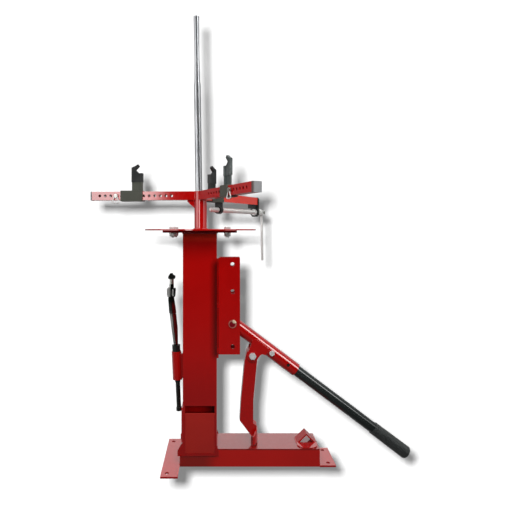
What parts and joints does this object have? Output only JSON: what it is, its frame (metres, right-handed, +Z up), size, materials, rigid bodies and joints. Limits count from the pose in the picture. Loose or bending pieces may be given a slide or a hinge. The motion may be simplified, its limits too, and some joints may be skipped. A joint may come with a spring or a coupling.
{
  "type": "manual tire changer",
  "caption": "Hand-operated tire changer: red pedestal on a channel base, radial arms with sliding hooked clamps, upright demounting bar and a bead-breaker lever.",
  "frame": {"origin": "on the floor, under the axis of the centre post", "axes": "+Z up, +X towards the lever handle, +Y to the rear, away from the bead rest's pad"},
  "size_m": [0.7448, 0.4939, 1.0281],
  "materials": {
    "red_paint": "gloss",
    "zinc": "satin",
    "bar_chrome": "polished",
    "tool_steel": "satin",
    "clamp_coat": "satin",
    "black_cover": "matte",
    "grey_cap": "matte",
    "black_oxide": "satin",
    "black_paint": "gloss",
    "grip_rubber": "matte"
  },
  "bodies": {
    "stand": {"base_channel": "red_paint", "left_foot_plate": "red_paint", "right_foot_plate": "red_paint", "bead_rest": "red_paint", "bead_rest_pad": "red_paint", "column_tube": "red_paint", "pocket_panel": "red_paint", "heel_stiffener": "red_paint", "bar_seat": "red_paint", "column_flange": "red_paint", "support_disc": "red_paint", "table_bolts": "zinc", "table_washers": "zinc", "table_nuts": "zinc", "center_post": "red_paint", "post_gusset": "red_paint", "arm_left": "red_paint", "arm_front": "red_paint", "arm_rear": "red_paint", "arm_end_caps": "grey_cap", "screw_bracket": "black_oxide", "lever_bracket": "red_paint", "bracket_mount": "red_paint", "pivot_bolt": "zinc", "pivot_nut": "zinc", "tool_sleeve": "red_paint"},
    "left_clamp": {"clamp_sleeve_left": "clamp_coat", "clamp_jaw_left": "clamp_coat", "jaw_cover_left": "black_cover"},
    "front_clamp": {"clamp_sleeve_front": "clamp_coat", "clamp_jaw_front": "clamp_coat", "jaw_cover_front": "black_cover"},
    "rear_clamp": {"clamp_sleeve_rear": "clamp_coat", "clamp_jaw_rear": "clamp_coat", "jaw_cover_rear": "black_cover", "screw_nut": "black_oxide"},
    "spindle": {"clamp_screw": "zinc", "crank_fork": "zinc", "crank_pin": "zinc"},
    "crank": {"crank_handle": "zinc"},
    "left_pin": {"lock_pin_left": "zinc", "pin_bail_left": "zinc"},
    "front_pin": {"lock_pin_front": "zinc", "pin_bail_front": "zinc"},
    "bar": {"demount_bar": "bar_chrome"},
    "lever": {"lever_tube": "red_paint", "lever_ears": "red_paint", "handle_tube": "black_paint", "handle_grip": "grip_rubber", "handle_bolt": "zinc", "link_bolt": "zinc", "link_nut": "zinc", "link_spacers": "zinc"},
    "link": {"breaker_link": "red_paint", "breaker_shoe": "red_paint"},
    "tool": {"tool_rod": "black_oxide", "tool_blade": "tool_steel", "tool_shank": "black_paint", "tool_hub": "tool_steel", "tool_knob": "black_oxide"}
  },
  "joints": [
    {"name": "lever_pivot", "type": "hinge", "parent": "stand", "child": "lever", "pos_m": [0.074, 0, 0.316], "axis": [0, -1, 0], "range_deg": [0, 90]},
    {"name": "link_pivot", "type": "hinge", "parent": "lever", "child": "link", "pos_m": [0.11992, 0, 0.24226], "axis": [0, -1, 0], "range_deg": [-90, 0]},
    {"name": "left_clamp_slide", "type": "slide", "parent": "stand", "child": "left_clamp", "axis": [-0.9981, 0.061, 0], "range_m": [-0.085, 0.005]},
    {"name": "front_clamp_slide", "type": "slide", "parent": "stand", "child": "front_clamp", "axis": [0.4384, -0.8988, 0], "range_m": [-0.085, 0.004]},
    {"name": "spindle_turn", "type": "hinge", "parent": "stand", "child": "spindle", "pos_m": [0, 0, 0.5805], "axis": [0.5519, 0.8339, 0], "range_deg": [-360, 3600]},
    {"name": "rear_clamp_slide", "type": "slide", "parent": "stand", "child": "rear_clamp", "axis": [0.5519, 0.8339, 0], "range_m": [-0.0081, 0.0801]},
    {"name": "crank_fold", "type": "hinge", "parent": "spindle", "child": "crank", "pos_m": [0.16392, 0.24766, 0.5805], "axis": [0.8339, -0.5519, 0], "range_deg": [0, 90]},
    {"name": "left_pin_pull", "type": "slide", "parent": "stand", "child": "left_pin", "axis": [-0.061, -0.9981, 0], "range_m": [0, 0.032]},
    {"name": "front_pin_pull", "type": "slide", "parent": "stand", "child": "front_pin", "axis": [-0.8988, -0.4384, 0], "range_m": [0, 0.032]},
    {"name": "bar_lift", "type": "slide", "parent": "stand", "child": "bar", "axis": [-0.0143, 0, 0.9999], "range_m": [0, 0.19]},
    {"name": "tool_lift", "type": "slide", "parent": "stand", "child": "tool", "axis": [-0.0454, 0, 0.999], "range_m": [0, 0.09]}
  ],
  "couplings": [
    {"joint": "link_pivot", "follows": "lever_pivot", "ratio": -1},
    {"joint": "rear_clamp_slide", "follows": "spindle_turn", "m_per_rad": 0.0012732}
  ]
}
